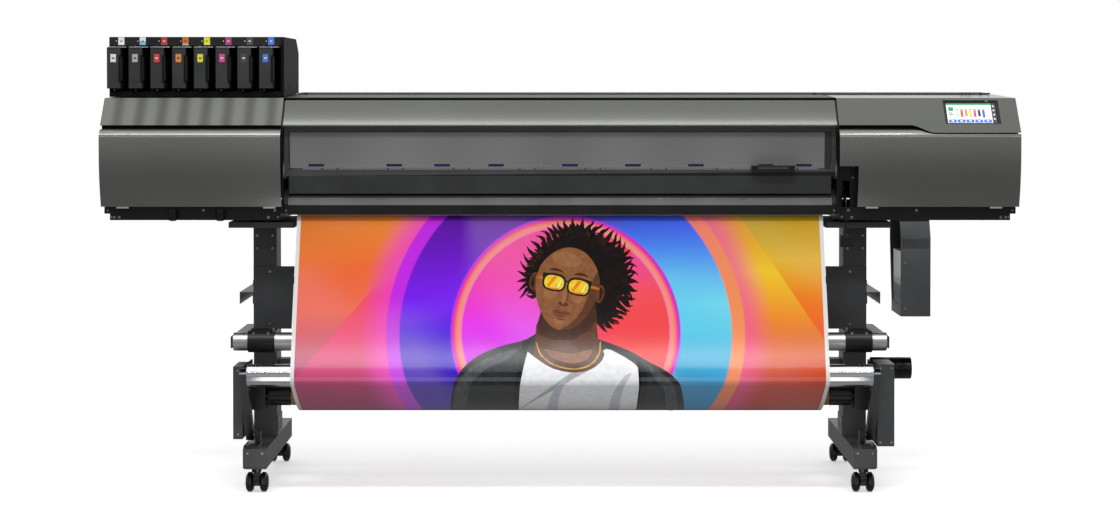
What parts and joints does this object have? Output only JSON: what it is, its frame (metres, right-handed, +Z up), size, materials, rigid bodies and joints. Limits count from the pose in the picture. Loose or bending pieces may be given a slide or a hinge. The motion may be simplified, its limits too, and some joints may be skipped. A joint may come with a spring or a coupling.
{
  "type": "wide format printer cutter",
  "caption": "Wide roll-fed print and cut machine on a castered stand with ink trays, hinged front window, dancer roller and take-up.",
  "frame": {"origin": "centre of the overall box, on the floor under the casters", "axes": "+X to the machine's right seen from the operator, the operator's side faces -Y, +Z up"},
  "size_m": [2.822, 0.7363, 1.399],
  "materials": {
    "stand_paint": "fine textured powder coat",
    "black_paint": "satin black powder coat",
    "cover_paint": "metallic grey paint on moulded covers",
    "satin_aluminium": "satin anodised",
    "polished_aluminium": "bright polished",
    "arm_steel": "grey powder coat",
    "roller_steel": "ground",
    "screw_steel": "zinc plated",
    "gloss_black": "moulded gloss",
    "black_plastic": "fine moulded texture",
    "tray_plastic": "fine moulded texture",
    "smoked_window": "smoked acrylic",
    "pinch_rubber": "ground rubber",
    "belt_rubber": "toothed belt",
    "bottle_plastic": "translucent polyethylene",
    "printed_media": "coated vinyl with a full-colour print",
    "switch_red": "moulded gloss"
  },
  "bodies": {
    "root": {"feet": "stand_paint", "posts": "stand_paint", "stretcher": "stand_paint", "post_guards": "stand_paint", "media_arms": "stand_paint", "guide_bar": "satin_aluminium", "roller_mounts": "black_plastic", "base_frame": "black_paint", "side_frames": "black_paint", "top_cover": "cover_paint", "rear_cover": "cover_paint", "left_cover_upper": "cover_paint", "left_cover_lower": "cover_paint", "right_cover_upper": "cover_paint", "right_cover_lower": "cover_paint", "platen": "black_paint", "front_apron": "black_paint", "guide_rail": "satin_aluminium", "drive_belt": "belt_rubber", "ink_cabinet": "black_plastic", "touch_panel": "gloss_black", "drain_holder": "stand_paint", "takeup_boxes": "stand_paint", "media_web": "printed_media", "power_inlet": "black_plastic", "cover_screws": "screw_steel"},
    "caster_fl": {"caster_fork_fl": "gloss_black"},
    "wheel_fl": {"caster_wheel_fl": "gloss_black"},
    "caster_fr": {"caster_fork_fr": "gloss_black"},
    "wheel_fr": {"caster_wheel_fr": "gloss_black"},
    "caster_rl": {"caster_fork_rl": "gloss_black"},
    "wheel_rl": {"caster_wheel_rl": "gloss_black"},
    "caster_rr": {"caster_fork_rr": "gloss_black"},
    "wheel_rr": {"caster_wheel_rr": "gloss_black"},
    "front_cover": {"front_cover": "cover_paint", "front_window": "smoked_window", "cover_handle": "gloss_black"},
    "load_lever": {"load_lever": "black_plastic"},
    "pinch_arms": {"pinch_arms": "black_paint"},
    "pinch_rollers": {"pinch_rollers": "pinch_rubber"},
    "feed_roller": {"feed_roller": "roller_steel"},
    "print_carriage": {"print_carriage": "black_plastic"},
    "drive_pulley": {"drive_pulley": "satin_aluminium"},
    "cutter_carriage": {"cutter_carriage": "black_plastic"},
    "blade_holder": {"blade_holder": "roller_steel"},
    "ink_tray_1": {"ink_tray_1": "tray_plastic"},
    "ink_tray_2": {"ink_tray_2": "tray_plastic"},
    "ink_tray_3": {"ink_tray_3": "tray_plastic"},
    "ink_tray_4": {"ink_tray_4": "tray_plastic"},
    "ink_tray_5": {"ink_tray_5": "tray_plastic"},
    "ink_tray_6": {"ink_tray_6": "tray_plastic"},
    "ink_tray_7": {"ink_tray_7": "tray_plastic"},
    "ink_tray_8": {"ink_tray_8": "tray_plastic"},
    "drain_bottle": {"drain_bottle": "bottle_plastic"},
    "takeup": {"takeup_shaft": "gloss_black", "takeup_roll": "printed_media"},
    "dancer": {"dancer_arms": "arm_steel"},
    "dancer_roller": {"dancer_roller": "polished_aluminium"},
    "supply": {"supply_roll": "printed_media"},
    "main_switch": {"main_switch": "switch_red"}
  },
  "joints": [
    {"name": "caster_fl_swivel", "type": "hinge", "parent": "root", "child": "caster_fl", "pos_m": [-0.9305, -0.242, 0.07], "axis": [0, 0, 1], "continuous": true},
    {"name": "wheel_fl_spin", "type": "hinge", "parent": "caster_fl", "child": "wheel_fl", "pos_m": [-0.9305, -0.228, 0.03], "axis": [1, 0, 0], "continuous": true},
    {"name": "caster_fr_swivel", "type": "hinge", "parent": "root", "child": "caster_fr", "pos_m": [0.9305, -0.242, 0.07], "axis": [0, 0, 1], "continuous": true},
    {"name": "wheel_fr_spin", "type": "hinge", "parent": "caster_fr", "child": "wheel_fr", "pos_m": [0.9305, -0.228, 0.03], "axis": [1, 0, 0], "continuous": true},
    {"name": "caster_rl_swivel", "type": "hinge", "parent": "root", "child": "caster_rl", "pos_m": [-0.9305, 0.324, 0.07], "axis": [0, 0, 1], "continuous": true},
    {"name": "wheel_rl_spin", "type": "hinge", "parent": "caster_rl", "child": "wheel_rl", "pos_m": [-0.9305, 0.338, 0.03], "axis": [1, 0, 0], "continuous": true},
    {"name": "caster_rr_swivel", "type": "hinge", "parent": "root", "child": "caster_rr", "pos_m": [0.9305, 0.324, 0.07], "axis": [0, 0, 1], "continuous": true},
    {"name": "wheel_rr_spin", "type": "hinge", "parent": "caster_rr", "child": "wheel_rr", "pos_m": [0.9305, 0.338, 0.03], "axis": [1, 0, 0], "continuous": true},
    {"name": "front_cover_hinge", "type": "hinge", "parent": "root", "child": "front_cover", "pos_m": [0, -0.138, 1.186], "axis": [-1, 0, 0], "range_deg": [0, 75]},
    {"name": "load_lever_pivot", "type": "hinge", "parent": "root", "child": "load_lever", "pos_m": [0.878, -0.1, 0.93], "axis": [-1, 0, 0], "range_deg": [0, 24]},
    {"name": "pinch_lift", "type": "hinge", "parent": "root", "child": "pinch_arms", "pos_m": [0, 0.106, 1], "axis": [-1, 0, 0], "range_deg": [0, 8]},
    {"name": "pinch_spin", "type": "hinge", "parent": "pinch_arms", "child": "pinch_rollers", "pos_m": [0, 0.061, 0.9708], "axis": [1, 0, 0], "continuous": true},
    {"name": "feed_spin", "type": "hinge", "parent": "root", "child": "feed_roller", "pos_m": [0, 0.061, 0.9482], "axis": [1, 0, 0], "continuous": true},
    {"name": "print_carriage_slide", "type": "slide", "parent": "root", "child": "print_carriage", "axis": [1, 0, 0], "range_m": [-1.93, 0]},
    {"name": "drive_pulley_spin", "type": "hinge", "parent": "root", "child": "drive_pulley", "pos_m": [1.32, 0.033, 1.1], "axis": [0, 1, 0], "range_deg": [-7300, 5]},
    {"name": "cutter_carriage_slide", "type": "slide", "parent": "root", "child": "cutter_carriage", "axis": [1, 0, 0], "range_m": [0, 1.9]},
    {"name": "blade_drop", "type": "slide", "parent": "cutter_carriage", "child": "blade_holder", "axis": [0, 0, -1], "range_m": [0, 0.009], "stiffness_N_per_m": 2000, "springref_m": -0.004},
    {"name": "ink_tray_1_slide", "type": "slide", "parent": "root", "child": "ink_tray_1", "axis": [0, -1, 0], "range_m": [0, 0.28]},
    {"name": "ink_tray_2_slide", "type": "slide", "parent": "root", "child": "ink_tray_2", "axis": [0, -1, 0], "range_m": [0, 0.28]},
    {"name": "ink_tray_3_slide", "type": "slide", "parent": "root", "child": "ink_tray_3", "axis": [0, -1, 0], "range_m": [0, 0.28]},
    {"name": "ink_tray_4_slide", "type": "slide", "parent": "root", "child": "ink_tray_4", "axis": [0, -1, 0], "range_m": [0, 0.28]},
    {"name": "ink_tray_5_slide", "type": "slide", "parent": "root", "child": "ink_tray_5", "axis": [0, -1, 0], "range_m": [0, 0.28]},
    {"name": "ink_tray_6_slide", "type": "slide", "parent": "root", "child": "ink_tray_6", "axis": [0, -1, 0], "range_m": [0, 0.28]},
    {"name": "ink_tray_7_slide", "type": "slide", "parent": "root", "child": "ink_tray_7", "axis": [0, -1, 0], "range_m": [0, 0.28]},
    {"name": "ink_tray_8_slide", "type": "slide", "parent": "root", "child": "ink_tray_8", "axis": [0, -1, 0], "range_m": [0, 0.28]},
    {"name": "drain_bottle_slide", "type": "slide", "parent": "root", "child": "drain_bottle", "axis": [-1, 0, 0], "range_m": [0, 0.16]},
    {"name": "takeup_spin", "type": "hinge", "parent": "root", "child": "takeup", "pos_m": [0, -0.069, 0.273], "axis": [1, 0, 0], "continuous": true},
    {"name": "dancer_swing", "type": "hinge", "parent": "root", "child": "dancer", "pos_m": [0, -0.189, 0.168], "axis": [1, 0, 0], "range_deg": [-18, 0], "deforming": ["media_web"]},
    {"name": "dancer_spin", "type": "hinge", "parent": "dancer", "child": "dancer_roller", "pos_m": [0, -0.333, 0.371], "axis": [1, 0, 0], "continuous": true},
    {"name": "supply_spin", "type": "hinge", "parent": "root", "child": "supply", "pos_m": [0, 0.26, 0.609], "axis": [1, 0, 0], "continuous": true},
    {"name": "main_switch_rock", "type": "hinge", "parent": "root", "child": "main_switch", "pos_m": [1.192, 0.308, 0.92], "axis": [1, 0, 0], "range_deg": [-8, 8]}
  ],
  "couplings": [
    {"joint": "pinch_lift", "follows": "load_lever_pivot", "ratio": 0.333},
    {"joint": "pinch_spin", "follows": "feed_spin", "ratio": -1.3333},
    {"joint": "drive_pulley_spin", "follows": "print_carriage_slide", "rad_per_m": 65.8}
  ]
}
